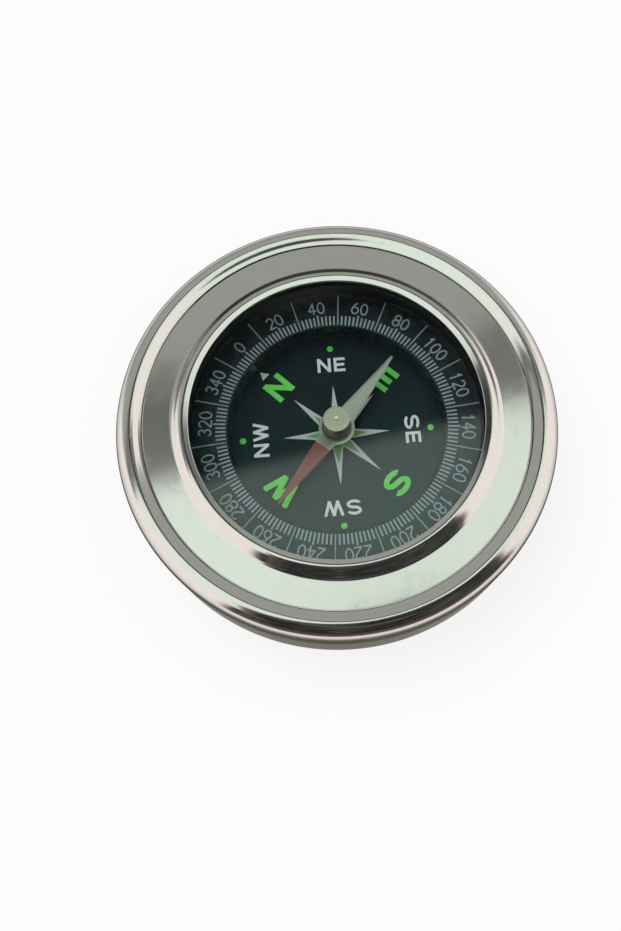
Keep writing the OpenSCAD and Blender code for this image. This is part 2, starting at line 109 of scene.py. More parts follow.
# Fixed tones: gloss of the dial under the window, of the cover and of the cup, rubber and its dust,
# the hidden carrier, light that the window lets through, and white
VEIL = (0.35, 1.0, 1.0)
COVER_GLOSS = (0.26, 0.24, 0.21)
CUP_GLOSS = (0.4, 0.37, 0.33)
RUBBER = (0.012, 0.012, 0.012)
RUBBER_DUST = (0.026, 0.026, 0.026)
CARRIER = (0.05, 0.05, 0.055)
WINDOW_SHADOW = (0.9, 0.92, 0.915)
WHITE = (1.0, 1.0, 1.0)


# Sizes and colours

def length(name, description, millimetres):
    return bpy.props.FloatProperty(
        name=name, description=description, default=millimetres * MM, unit="LENGTH", precision=5
    )


def colour(name, description, red, green, blue):
    return bpy.props.FloatVectorProperty(
        name=name, description=description, default=(red, green, blue), subtype="COLOR", min=0, max=1
    )


def angle(name, description, degrees):
    return bpy.props.FloatProperty(
        name=name, description=description, default=math.radians(degrees), subtype="ANGLE", unit="ROTATION"
    )


def amount(name, description, value):
    return bpy.props.FloatProperty(
        name=name, description=description, default=value, subtype="FACTOR", min=0, soft_max=2
    )


def count(name, description, value):
    return bpy.props.IntProperty(name=name, description=description, default=value, min=1)


class CompassCaseSizes(bpy.types.PropertyGroup):
    """Sizes of the cover and the base cup."""

    opening_radius: length("Opening radius", "Radius of the cover's opening over the window", 19.9)
    sheet: length("Cover sheet", "Sheet thickness of the cover", 0.4)
    lip_width: length("Lip width", "From the lip's edge to the crest of the inner bead", 0.9)
    lip_round: length("Lip rounding", "Width of the round part of the lip, next to the crest", 0.315)
    lip_tilt: angle("Lip tilt", "Tilt of the lip", 12)
    bead_width: length("Bead width", "Width of the inner bead's outer slope", 1.85)
    bead_height: length("Bead height", "Height of the inner bead over the annulus", 0.95)
    annulus_fall: length("Annulus fall", "Fall of the annulus towards its outer edge", 0.15)
    step_height: length("Step height", "Height of the crisp step outside the annulus", 0.15)
    rise_width: length("Rise width", "Width of the slope up to the rim's crest", 1.7)
    rise_height: length("Rise height", "Height of the slope up to the rim's crest", 0.6)
    roll_radius: length("Roll radius", "Outside radius of the rolled rim", 2.15)
    hem_radius: length("Hem radius", "Rounding of the cover's lower edge", 0.12)
    cup_sheet: length("Cup sheet", "Sheet thickness of the base cup", 0.5)
    corner_radius: length("Corner radius", "Outside radius of the cup's bottom corner", 1.2)
    shut_gap: length("Shut gap", "Gap between the cover's hem and the cup's shoulder", 0.08)
    neck_inset: length("Neck inset", "How far the cup's neck stands inside the cup's wall", 0.4)


class CompassDialSizes(bpy.types.PropertyGroup):
    """Sizes of the window, the dial, the scale ring and their marks."""

    window_edge: length("Window edge", "Bevel round the window", 0.15)
    spacer_ledge: length("Ledge", "Width of the ledge under the window", 0.9)
    spacer_lip: length("Spacer lip", "Thickness of the lip round the window", 0.5)
    spacer_flange: length("Spacer flange", "Thickness of the spacer's flange", 1)
    scale_inner_radius: length("Scale inner radius", "Inner radius of the raised scale ring", 15.2)
    scale_wall: length("Scale wall", "Wall thickness of the scale ring", 0.9)
    scale_edge: length("Scale edge", "Chamfer at the scale ring's inner edge", 0.15)
    tick_count: count("Marks", "Degree marks round the scale", 180)
    tick_inset: length("Mark inset", "From the scale ring's inner edge to a mark", 0.3)
    tick_length: length("Mark length", "Length of a degree mark", 1.45)
    tick_width: length("Mark width", "Width of a degree mark", 0.25)
    ten_extra: length("Numbered mark extra", "Extra length of a mark at a number", 0.3)
    line_count: count("Lines", "Long lines between the numbers", 18)
    line_width: length("Line width", "Width of a long line", 0.16)
    line_margin: length("Line margin", "From a long line's end to the ring's outer edge", 0.2)
    ink: length("Ink", "Thickness of a printed mark", 0.04)
    glow: length("Luminous paint", "Thickness of a luminous mark", 0.08)
    dot_circle: length("Dot circle", "Radius of the circle of dots", 13.5)
    dot_radius: length("Dot radius", "Radius of a luminous dot", 0.45)


class CompassNeedleSizes(bpy.types.PropertyGroup):
    """Sizes of the needle, its hub and its pivot."""

    azimuth: angle("Direction", "Direction of the plain arm, clockwise from the dial's north", 85.5)
    reach: length("Reach", "Radius to the tips", 13.6)
    root_width: length("Root width", "Width of an arm at its root", 2.7)
    tip_width: length("Tip width", "Width of an arm at its tip", 0.4)
    root_radius: length("Root radius", "Radius at which an arm's taper starts", 2.3)
    disc_radius: length("Disc radius", "Radius of the blade's round centre", 2.55)
    red_start: length("Paint start", "Radius at which the red paint starts", 3.35)
    edge: length("Edge", "Rounding of the blade's edges", 0.03)
    hub_radius: length("Hub radius", "Radius of the hub's body", 1.85)
    hub_bore: length("Hub bore", "Radius of the hub's bore", 1.05)
    hub_roof: length("Hub roof", "Thickness over the hub's bore", 0.45)
    foot_height: length("Foot height", "Height of the hub's foot", 0.35)
    spigot: length("Spigot", "Wall of the spigot that goes through the blade", 0.2)
    dimple_radius: length("Dimple radius", "Radius of the turned dimple on the hub", 0.28)
    dimple_depth: length("Dimple depth", "Depth of the turned dimple on the hub", 0.12)
    hollow_radius: length("Hollow radius", "Radius of the jewel's hollow", 0.36)
    hollow_depth: length("Hollow depth", "Depth of the jewel's hollow", 0.37)
    pin_cone: length("Pin cone", "Length of the pin's cone", 0.8)
    pin_tip: length("Pin tip", "Radius of the pin's tip", 0.04)
    post_radius: length("Post radius", "Radius of the post", 0.9)
    collar_height: length("Collar height", "Height of the post's collar", 0.4)


class CompassFinishes(bpy.types.PropertyGroup):
    """Colours of the finishes."""

    polished: colour("Polished metal", "Plated and polished cover", 0.70, 0.685, 0.665)
    # This wall tone is dark partly as painted reflection, for a dark floor mirrored in the walls of the cup
    # and the cover
    drawn_with_painted_reflection: colour("Drawn metal", "Plated walls of the base cup and the cover", 0.215, 0.20, 0.185)
    moulding: colour("Black moulding", "Wall round the dial", 0.010, 0.010, 0.012)
    dial: colour("Dial", "Matt black dial", 0.010, 0.011, 0.014)
    scale: colour("Scale ring", "Satin black scale ring", 0.014, 0.015, 0.018)
    scale_ink: colour("Scale ink", "Numbers and marks of the scale", 0.36, 0.44, 0.50)
    white_ink: colour("White ink", "Star", 0.62, 0.68, 0.72)
    letter_ink: colour("Letter ink", "Small letters and the pointer", 0.86, 0.90, 0.94)
    green_ink: colour("Green ink", "Inner star", 0.18, 0.44, 0.13)
    luminous: colour("Luminous paint", "Large letters and dots", 0.11, 0.72, 0.085)
    needle: colour("Needle steel", "Plain arm of the needle", 0.50, 0.54, 0.47)
    red: colour("Red paint", "North-seeking arm", 0.20, 0.055, 0.05)
    hub: colour("Hub", "Turned hub", 0.80, 0.80, 0.62)
    brass: colour("Brass", "Post", 0.72, 0.52, 0.22)
    steel: colour("Hard steel", "Pin", 0.5, 0.5, 0.5)
    jewel: colour("Jewel", "Bearing", 0.55, 0.03, 0.06)
    glass: colour("Window", "Clear window", 0.97, 0.99, 0.985)


class CompassStage(bpy.types.PropertyGroup):
    """The floor, the light round the object and the camera."""

    floor: colour("Floor", "Pale floor", 0.90, 0.90, 0.905)
    panel_left: colour("Panel, left", "Left end of the light panel above the object", 0.87, 0.98, 0.89)
    panel_right: colour("Panel, right", "Right end of the light panel above the object", 0.82, 0.94, 0.83)
    wall: colour("Far wall", "Wall behind the object", 0.37, 0.377, 0.358)
    sides: colour("Side panels", "Warm panels at both sides", 1.0, 0.945, 0.89)
    panel_strength: amount("Panel strength", "Strength of the panels", 1.15)
    dark: colour("Dark card", "Dark cards at the front and behind the panel", 0.02, 0.02, 0.022)
    brown: colour("Brown card", "Brown card behind the dark one", 0.15, 0.085, 0.07)
    panel_turn: angle("Panel turn", "Turn of the panel against the view direction", 12)
    white_share: amount("White floor", "How much of the floor is plain white", 0.84)
    sky_strength: amount("Plain light", "Even light on matt things", 0.62)
    lamp_strength: amount("Lamp", "Strength of the soft lamp", 1.35)
    lamp_angle: angle("Lamp size", "Angle that the soft lamp fills", 40)
    away: angle("View direction", "Clockwise from the dial's north to where the camera looks", 47.81)
    elevation: angle("Elevation", "Height of the camera over the horizon", 70.633)
    roll: angle("Roll", "Turn of the camera about its own axis", -1.671)
    distance: length("Distance", "From the camera to the middle of the dial", 124.8)
    target_height: length("Target height", "Height of the point looked at", 3.8)


def mm(value):
    return value / MM


# Outlines of turned pieces: points are (radius, height) in millimetres

def arc(centre, radius, start, end, steps=CURVE_STEPS):
    points = []
    for i in range(steps + 1):
        a = math.radians(start + (end - start) * i / steps)
        points.append((centre[0] + radius * math.cos(a), centre[1] + radius * math.sin(a)))
    return points


def ramp(start, end):
    """A smooth slope that starts and ends level, without its first point."""
    points = []
    for i in range(1, CURVE_STEPS + 1):
        u = i / CURVE_STEPS
        v = (1 - math.cos(math.pi * u)) / 2
        points.append((start[0] + (end[0] - start[0]) * u, start[1] + (end[1] - start[1]) * v))
    return points


def eased(before, corner, after, radius):
    """A rounded corner, with a point on each side that keeps the flats flat."""
    c = Vector(corner)
    to_before = (Vector(before) - c).normalized()
    to_after = (Vector(after) - c).normalized()
    p = c + to_before * radius
    q = c + to_after * radius
    points = [tuple(c + to_before * radius * SUPPORT)]
    for i in range(CORNER_STEPS + 1):
        u = i / CORNER_STEPS
        points.append(tuple(p * (1 - u) ** 2 + c * 2 * u * (1 - u) + q * u * u))
    return points + [tuple(c + to_after * radius * SUPPORT)]


def rounded(points, radius, corners=None):
    """The closed outline with the corners of these numbers rounded, or all that are off the axis."""
    out = []
    for i, point in enumerate(points):
        before = points[i - 1]
        after = points[(i + 1) % len(points)]
        if point[0] < ON_AXIS or (corners is not None and i not in corners):
            out.append(point)
        else:
            out.extend(eased(before, point, after, radius))
    return out


def section(inner, outer, low, high):
    """The outline of a plain ring, or of a disc where the inner radius is 0."""
    return [(inner, low), (outer, low), (outer, high), (inner, high)]


def add_object(name, data):
    made = bpy.data.objects.new(name, data)
    bpy.context.scene.collection.objects.link(made)
    return made


def smooth_piece(name, mesh):
    """A piece whose faces point outwards, whose round faces shade smooth and whose crisp edges stay crisp."""
    mesh.name = name
    bm = bmesh.new()
    bm.from_mesh(mesh)
    bmesh.ops.remove_doubles(bm, verts=bm.verts, dist=MERGE * MM)
    bmesh.ops.recalc_face_normals(bm, faces=bm.faces)
    bm.to_mesh(mesh)
    bm.free()
    mesh.shade_smooth()
    mesh.set_sharp_from_angle(angle=SHARP_ANGLE)
    return add_object(name, mesh)


def turned(name, outline, steps=TURN_STEPS):
    """A solid of revolution from a closed outline, which may touch the axis at its first and last points."""
    on_axis = outline[0][0] < ON_AXIS
    vertices = []
    rows = []
    for radius, height in outline:
        if radius < ON_AXIS:
            rows.append([len(vertices)] * steps)
            vertices.append((0, 0, height * MM))
            continue
        rows.append(list(range(len(vertices), len(vertices) + steps)))
        for k in range(steps):
            a = 2 * math.pi * k / steps
            vertices.append((radius * math.cos(a) * MM, radius * math.sin(a) * MM, height * MM))
    faces = []
    pairs = list(zip(rows, rows[1:]))
    if not on_axis:
        pairs.append((rows[-1], rows[0]))
    for low, high in pairs:
        for k in range(steps):
            n = (k + 1) % steps
            corners = [low[k], low[n], high[n], high[k]]
            face = [v for j, v in enumerate(corners) if v != corners[j - 1]]
            if len(face) > 2:
                faces.append(face)
    mesh = bpy.data.meshes.new(name)
    mesh.from_pydata(vertices, [], faces)
    return smooth_piece(name, mesh)


def evaluated_mesh(source):
    """The mesh that a curve or a modifier makes, after which its source is removed."""
    graph = bpy.context.evaluated_depsgraph_get()
    mesh = bpy.data.meshes.new_from_object(source.evaluated_get(graph))
    source.modifiers.clear()
    bpy.data.objects.remove(source)
    return mesh


def plate(name, loops, low, high, edge):
    """A flat plate with rounded edges, from outlines in millimetres."""
    curve = bpy.data.curves.new(name, "CURVE")
    curve.dimensions = "2D"
    curve.fill_mode = "BOTH"
    curve.extrude = (high - low) / 2 - edge
    curve.bevel_depth = edge
    curve.bevel_resolution = 2
    curve.offset = -edge
    for loop in loops:
        spline = curve.splines.new("POLY")
        spline.points.add(len(loop) - 1)
        for point, (x, y) in zip(spline.points, loop):
            point.co = (x, y, 0, 1)
        spline.use_cyclic_u = True
    mesh = evaluated_mesh(add_object(name + "_outline", curve))
    bpy.data.curves.remove(curve)
    mesh.transform(Matrix.Diagonal((MM, MM, MM, 1)) @ Matrix.Translation((0, 0, (low + high) / 2)))
    return smooth_piece(name, mesh)


def place(piece, body, node, material):
    """Finishes a piece: its material, the body that it rides on and the CAD node that it stands for."""
    piece.data.materials.clear()
    piece.data.materials.append(material)
    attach(piece, body)
    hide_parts(node)


def paint(node, material):
    """Gives a CAD node its material."""
    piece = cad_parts[node]
    for slot in piece.material_slots:
        slot.material = material


def low_high(node):
    """Lowest and highest corner of a CAD node, in millimetres."""
    low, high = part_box(node)
    return low / MM, high / MM


# Shader nodes

class Number:
    """A number socket in a node tree, with the usual operators."""

    def __init__(self, tree, socket):
        self.tree = tree
        self.socket = socket

    def math(self, operation, *others):
        values = dict(enumerate((self, *others)))
        return self.tree.number("ShaderNodeMath", {"operation": operation}, values)

    def __add__(self, other):
        return self.math("ADD", other)

    def __sub__(self, other):
        return self.math("SUBTRACT", other)

    def __mul__(self, other):
        return self.math("MULTIPLY", other)

    def __truediv__(self, other):
        return self.math("DIVIDE", other)

    def __rsub__(self, other):
        return self.tree.number("ShaderNodeMath", {"operation": "SUBTRACT"}, {0: other, 1: self})

    def __rtruediv__(self, other):
        return self.tree.number("ShaderNodeMath", {"operation": "DIVIDE"}, {0: other, 1: self})

    __radd__ = __add__
    __rmul__ = __mul__

    def sqrt(self):
        return self.math("SQRT")

    def step(self, low, high):
        """0 below low, 1 above high, and smooth between."""
        values = {"Value": self, "From Min": low, "From Max": high}
        return self.tree.number("ShaderNodeMapRange", {"interpolation_type": "SMOOTHSTEP"}, values, "Result")

    def band(self, low, high, soft):
        """1 between low and high, with soft edges."""
        return self.step(low - soft, low + soft) * (1 - self.step(high - soft, high + soft))


class Tree:
    """Adds nodes to a node tree."""

    def __init__(self, tree):
        self.tree = tree
        tree.nodes.clear()

    def node(self, kind, settings=None, values=None):
        """Adds a node, first its settings and then what its sockets hold."""
        made = self.tree.nodes.new(kind)
        for key, setting in (settings or {}).items():
            setattr(made, key, setting)
        for key, value in (values or {}).items():
            self.fill(made.inputs[key], value)
        return made

    def fill(self, socket, value):
        """Sets a socket, or links it to another."""
        if isinstance(value, Number):
            value = value.socket
        if isinstance(value, bpy.types.NodeSocket):
            self.tree.links.new(value, socket)
        elif socket.type == "RGBA":
            socket.default_value = (*value, 1)
        else:
            socket.default_value = value

    def number(self, kind, settings=None, values=None, output=0):
        return Number(self, self.node(kind, settings, values).outputs[output])

    def mix(self, factor, first, second):
        """A colour between two others."""
        return self.node("ShaderNodeMix", {"data_type": "RGBA"}, {0: factor, 6: first, 7: second}).outputs[2]

    def split(self, vector):
        made = self.node("ShaderNodeSeparateXYZ", values={0: vector})
        return [Number(self, out) for out in made.outputs]

    def join(self, x, y, z):
        return self.node("ShaderNodeCombineXYZ", values={0: x, 1: y, 2: z}).outputs[0]

    def noise(self, vector, scale, detail=3, roughness=0.5):
        """Soft random patches, scale of them to a millimetre where the vector is in millimetres."""
        values = {"Vector": vector, "Scale": scale, "Detail": detail, "Roughness": roughness}
        return self.number("ShaderNodeTexNoise", None, values)


class Finish(Tree):
    """A material with one Principled shader, whose patterns read Object coordinates in millimetres."""

    def __init__(self, name):
        self.material = bpy.data.materials.new(name)
        self.material.use_nodes = True
        super().__init__(self.material.node_tree)
        self.shader = self.node("ShaderNodeBsdfPrincipled")
        self.output = self.node("ShaderNodeOutputMaterial", values={"Surface": self.shader.outputs[0]})
        coordinates = self.node("ShaderNodeTexCoord").outputs["Object"]
        scale = self.node("ShaderNodeVectorMath", {"operation": "SCALE"}, {0: coordinates, "Scale": 1 / MM})
        self.place = scale.outputs[0]

    def round(self):
        """Distance from the axis, the direction as a unit vector's x and y, and the height."""
        x, y, z = self.split(self.place)
        radius = (x * x + y * y).sqrt()
        return radius, x / radius, y / radius, z

    def set(self, **values):
        for key, value in values.items():
            self.fill(self.shader.inputs[key.replace("_", " ")], value)

    def mottle(self, fine, broad, dark, pale, limits=(0.3, 0.7), shares=(0.5, 0.3)):
        """A colour between two tones: a fine pattern between its limits and a broad one, by their shares."""
        return self.mix(fine.step(*limits) * shares[0] + broad * shares[1], dark, pale)

    def show(self, shader):
        """Gives the whole surface to a shader."""
        self.fill(self.output.inputs["Surface"], shader.outputs[0])

    def share(self, part, other):
        """Gives that part of the surface to another shader."""
        values = {0: part, 1: self.shader.outputs[0], 2: other.outputs[0]}
        self.show(self.node("ShaderNodeMixShader", None, values))

    def bump(self, height, distance, strength):
        """Relief of the given depth in millimetres."""
        values = {"Height": height, "Distance": distance * MM, "Strength": strength}
        self.set(Normal=self.node("ShaderNodeBump", None, values).outputs[0])


def shade(tone, factor):
    return tuple(min(1.0, c * factor) for c in tone)


def light(tone, strength):
    return tuple(c * strength for c in tone)


def die_lines(m, east, north, height):
    """Upright lines that the drawing die leaves, fine and broad: patches stretched along the height."""
    fine = m.noise(m.join(east * 60, north * 60, height * 0.22), 2.4, 5, 0.7)
    broad = m.noise(m.join(east * 7, north * 7, height * 0.12), 1.0, 3)
    return fine, broad


def drawn_tone(m, tone, lines, broad):
    """Colour of a wall with the drawing die's lines, darker in its lines; the tone it is given is partly
    painted reflection.
    """
    return m.mottle(lines, broad, shade(tone, 0.72), shade(tone, 1.22), shares=(0.55, 0.3))


def polished_metal(tone, wall_tone_with_painted_reflection):
    """Plated sheet, polished on top; its outer wall has the die's upright lines and a dark tone that is
    partly painted reflection.
    """
    m = Finish("Polished_plated_metal_and_painted_wall_reflection")
    radius, east, north, height = m.round()
    # Painted reflection in part: the outer wall below the polish takes the dark wall tone
    wall = (1 - height.step(*POLISH_HEIGHTS)) * radius.step(*POLISH_RADII)
    waves = m.noise(m.place, 0.16, 2)
    wipes = m.noise(m.join(east * 26, north * 26, radius * 14), 1.0, 4, 0.6)
    smudge = m.noise(m.place, 0.55, 4, 0.62).step(0.5, 0.78)
    grain = m.noise(m.place, 9, 2)
    lines, broad = die_lines(m, east, north, height)
    top = m.mix(smudge * 0.35 + grain * 0.12, tone, shade(tone, 0.93))
    side = drawn_tone(m, wall_tone_with_painted_reflection, lines, broad)
    m.set(Metallic=1.0, Specular_Tint=COVER_GLOSS, Base_Color=m.mix(wall, top, side))
    m.set(Roughness=smudge * 0.05 + wipes * 0.03 + 0.09 + wall * (lines * 0.16 + 0.16))
    m.bump(waves + wipes * 0.012 + wall * lines * 0.3, 0.06, 0.35)
    return m.material


def drawn_metal(tone):
    """Plated cup: fine upright lines that the drawing die leaves, and turned lines on its floor; its dark
    tone is partly painted reflection.
    """
    m = Finish("Drawn_plated_metal_with_painted_reflection")
    radius, east, north, height = m.round()
    lines, broad = die_lines(m, east, north, height)
    turned_lines = m.noise(m.join(radius * 5, 0.0, 0.0), 1.0, 4, 0.7)
    on_floor = height.step(0.9, 0.2)
    streak = lines * (1 - on_floor) + turned_lines * on_floor
    m.set(Metallic=1.0, Specular_Tint=CUP_GLOSS, Base_Color=drawn_tone(m, tone, streak, broad))
    m.set(Roughness=streak * 0.16 + 0.22)
    m.bump(streak, 0.02, 0.5)
    return m.material


def black_moulding(name, tone, roughness, grain_scale, tint=WHITE):
    """Black plastic or paint with a fine grain and a little dust. The tint colours its gloss."""
    m = Finish(name)
    grain = m.noise(m.place, grain_scale, 2, 0.5)
    clouds = m.noise(m.place, 0.35, 2)
    dust = m.noise(m.place, 2.3, 4, 0.7).step(0.62, 0.85)
    m.set(Base_Color=m.mix(dust * 0.2 + grain * 0.25, tone, shade(tone, 1.9)))
    m.set(Roughness=clouds * 0.06 + roughness, IOR=1.45, Specular_Tint=tint)
    m.bump(clouds, 0.004, 0.3)
    return m.material


def printed_ink(name, tone):
    """Screen-printed ink: grainy, a little thin in places."""
    m = Finish(name)
    grain = m.noise(m.place, 7.5, 4, 0.7)
    patches = m.noise(m.place, 1.3, 3)
    mottled = m.mottle(grain, patches, shade(tone, 0.7), tone, (0.32, 0.68), (0.65, 0.35))
    m.set(Base_Color=mottled, Roughness=0.6)
    m.bump(grain, 0.012, 0.5)
    return m.material


def luminous_paint(tone):
    """Thick luminous paint: a tone and a paler one in patches, with fine pigment grains."""
    m = Finish("Luminous_green_paint")
    grain = m.noise(m.place, 11, 3, 0.6)
    patches = m.noise(m.place, 0.9, 2)
    pale = (tone[0] * 2.1, tone[1] * 1.02, tone[2] * 2.0)
    m.set(Base_Color=m.mottle(patches, grain, tone, pale, (0.35, 0.7)), Roughness=0.5)
    m.bump(grain, 0.02, 0.4)
    return m.material


def needle_steel(tone):
    """Thin pressed steel with a pale satin plating and pressing marks."""
    m = Finish("Satin_needle_steel")
    grain = m.noise(m.place, 8, 3, 0.7)
    blotch = m.noise(m.place, 1.1, 3)
    mottled = m.mottle(grain, blotch, shade(tone, 0.8), shade(tone, 1.1), shares=(0.5, 0.4))
    m.set(Metallic=0.85, Base_Color=mottled, Roughness=grain * 0.15 + 0.36)
    m.bump(grain, 0.015, 0.5)
    return m.material


def red_paint(tone):
    """A thin red coat, faded in patches."""
    m = Finish("Red_needle_paint")
    grain = m.noise(m.place, 6, 3, 0.7)
    blotch = m.noise(m.place, 0.8, 3)
    faded = (tone[0] * 1.15, tone[1] * 1.7, tone[2] * 1.7)
    mottled = m.mottle(grain, blotch, tone, faded, (0.35, 0.7), (0.4, 0.4))
    m.set(Base_Color=mottled, Roughness=grain * 0.12 + 0.32)
    m.bump(grain, 0.01, 0.4)
    return m.material


def turned_metal(name, tone, roughness, pitch, painted_shade_below=0.0):
    """Metal with fine rings from the lathe's tool, painted dark below the given height as painted shade."""
    m = Finish(name)
    radius, _, _, height = m.round()
    rings = m.noise(m.join(radius * pitch, height * pitch, 0.0), 1.0, 3, 0.6)
    spots = m.noise(m.place, 3.5, 3, 0.6)
    bright = m.mottle(rings, spots, shade(tone, 0.78), shade(tone, 1.06))
    # Painted shade: below the given height the tone falls to a fifth, standing in for the dark dial that a
    # side mirrors
    above = height.step(painted_shade_below - 0.1, painted_shade_below + 0.02)
    m.set(Metallic=1.0, Base_Color=m.mix(above, shade(tone, 0.2), bright), Roughness=rings * 0.18 + roughness)
    m.bump(rings, 0.02, 0.6)
    return m.material


def jewel(tone):
    """Synthetic ruby, a little cloudy, with a polished skin."""
    m = Finish("Red_jewel")
    cloud = m.noise(m.place, 1.8, 3)
    m.set(Base_Color=m.mix(cloud, tone, shade(tone, 1.4)), Roughness=0.08, IOR=1.76)
    m.set(Coat_Weight=cloud * 0.2 + 0.3)
    return m.material


def soft_rubber():
    """Black rubber with dust in its grain."""
    m = Finish("Black_soft_ring")
    grain = m.noise(m.place, 5, 3)
    m.set(Base_Color=m.mix(grain, RUBBER, RUBBER_DUST), Roughness=grain * 0.1 + 0.7)
    m.bump(grain, 0.02, 0.4)
    return m.material


def clear_window(tone):
    """Clear window with the faintest wipe marks. It lets the light through to the dial."""
    m = Finish("Clear_window")
    wipes = m.noise(m.place, 0.35, 4, 0.6).step(0.45, 0.8)
    m.set(Base_Color=tone, IOR=1.42, Transmission_Weight=1.0, Roughness=wipes * 0.012)
    through = m.node("ShaderNodeBsdfTransparent", None, {"Color": WINDOW_SHADOW})
    shadow = m.node("ShaderNodeLightPath").outputs["Is Shadow Ray"]
    m.share(shadow, through)
    return m.material


# Marks that repeat round the dial, made by geometry nodes

RING_INPUTS = {
    "NodeSocketInt": ("Count", "Every", "Left Out"),
    "NodeSocketFloat": ("First Angle", "Radius", "Height", "Length", "Width", "Thickness", "Longer By"),
    "NodeSocketBool": ("Dots",),
    "NodeSocketMaterial": ("Finish",),
}


def ring_tree():
    """Geometry nodes that set bars or dots round a circle, clockwise from north."""
    group = bpy.data.node_groups.new("Marks_round_a_circle", "GeometryNodeTree")
    face = group.interface
    for kind, names in RING_INPUTS.items():
        for name in names:
            face.new_socket(name=name, in_out="INPUT", socket_type=kind)
    face.new_socket(name="Geometry", in_out="OUTPUT", socket_type="NodeSocketGeometry")

    t = Tree(group)
    given = {out.name: Number(t, out) for out in t.node("NodeGroupInput").outputs}
    index = t.number("GeometryNodeInputIndex")
    azimuth = index * (2 * math.pi / given["Count"]) + given["First Angle"]
    remainder = index.math("MODULO", given["Every"])
    shown = 1.0 - remainder.math("COMPARE", given["Left Out"])
    extra = remainder.math("COMPARE", 0.0) * given["Longer By"]
    out_to = given["Radius"] + given["Length"] * 0.5 + extra * 0.5
    lift = given["Height"] + given["Thickness"] * 0.5
    spot = t.join(azimuth.math("SINE") * out_to, azimuth.math("COSINE") * out_to, lift)
    points = t.node("GeometryNodePoints", None, {"Count": given["Count"], "Position": spot})
    size = t.join(given["Width"], given["Length"], given["Thickness"])
    bar = t.node("GeometryNodeMeshCube", None, {"Size": size})
    rounds = {"Vertices": DOT_SIDES, "Radius": given["Width"] * 0.5, "Depth": given["Thickness"]}
    dot = t.node("GeometryNodeMeshCylinder", None, rounds)
    shapes = {"Switch": given["Dots"], "False": bar.outputs["Mesh"], "True": dot.outputs["Mesh"]}
    shape = t.node("GeometryNodeSwitch", {"input_type": "GEOMETRY"}, shapes)
    rotation = t.node("FunctionNodeEulerToRotation", None, {0: t.join(0.0, 0.0, azimuth * -1.0)})
    placed = t.node("GeometryNodeInstanceOnPoints", None, {
        "Points": points.outputs[0],
        "Selection": shown,
        "Instance": shape.outputs[0],
        "Rotation": rotation.outputs[0],
        "Scale": t.join(1.0, extra / given["Length"] + 1.0, 1.0),
    })
    real = t.node("GeometryNodeRealizeInstances", None, {"Geometry": placed.outputs[0]})
    made = {"Geometry": real.outputs[0], "Material": given["Finish"]}
    finished = t.node("GeometryNodeSetMaterial", None, made)
    t.node("NodeGroupOutput", None, {"Geometry": finished.outputs[0]})
    return group


def ring_of_marks(name, values):
    """A plain mesh of the marks that the node tree makes from these inputs."""
    group = bpy.data.node_groups.get("Marks_round_a_circle") or ring_tree()
    source = add_object(name + "_source", bpy.data.meshes.new(name + "_source"))
    modifier = source.modifiers.new("Marks", "NODES")
    modifier.node_group = group
    for item in group.interface.items_tree:
        if item.in_out == "INPUT" and item.name in values:
            modifier[item.identifier] = values[item.name]
    return smooth_piece(name, evaluated_mesh(source))


# Operators, one for each piece or group of pieces

class COMPASS_OT_cover(bpy.types.Operator):
    """Press the polished cover with its lip, bead, annulus, step and rolled rim"""

    bl_idname = "compass.cover"
    bl_label = "Cover"

    def execute(self, context):
        s = context.scene.compass_case
        low, high = low_high("bezel")
        rim, crest_z, skirt_z = high.x, high.z, low.z
        sheet, hem = mm(s.sheet), mm(s.hem_radius)
        lip_arc = mm(s.lip_round) / math.sin(s.lip_tilt)
        crest = (mm(s.opening_radius + s.lip_width), crest_z)
        foot = (crest[0] + mm(s.bead_width), crest_z - mm(s.bead_height))
        roll = mm(s.roll_radius)
        roll_r = rim - roll
        edge = (roll_r - mm(s.rise_width), foot[1] - mm(s.annulus_fall))
        step = (edge[0] + mm(s.step_height) / 2, edge[1] + mm(s.step_height))
        crown = (roll_r, step[1] + mm(s.rise_height))
        centre = (roll_r, crown[1] - roll)
        tilt = math.degrees(s.lip_tilt)
        lip = arc((crest[0], crest_z - lip_arc), lip_arc, 90 + tilt, 90)
        flat, fall = mm(s.lip_width - s.lip_round), math.tan(s.lip_tilt)
        near = flat * LIP_SUPPORT
        edge_of_lip = (mm(s.opening_radius), lip[0][1] - flat * fall)
        lip = [edge_of_lip, (lip[0][0] - near, lip[0][1] - near * fall)] + lip
        relief = lip + ramp(crest, foot) + [edge, step] + ramp(step, crown)[:-1]
        under = [(r, z - sheet) for r, z in relief]
        inner = arc(centre, roll - sheet, 0, 90)
        lip_top = eased(under[0], relief[0], relief[1], sheet * LIP_EDGE)
        lip_under = eased(under[1], under[0], relief[0], sheet * LIP_EDGE)
        hem_out = eased((rim, centre[1]), (rim, skirt_z), (rim - sheet, skirt_z), hem)
        outline = (
            lip_top + relief[1:] + arc(centre, roll, 90, 0) + hem_out
            + [(rim - sheet, skirt_z)] + inner + under[:0:-1] + lip_under
        )
        piece = turned("Cover_ring", outline)
        finishes = context.scene.compass_finishes
        metal = polished_metal(finishes.polished, finishes.drawn_with_painted_reflection)
        place(piece, "case", "bezel", metal)
        return {"FINISHED"}


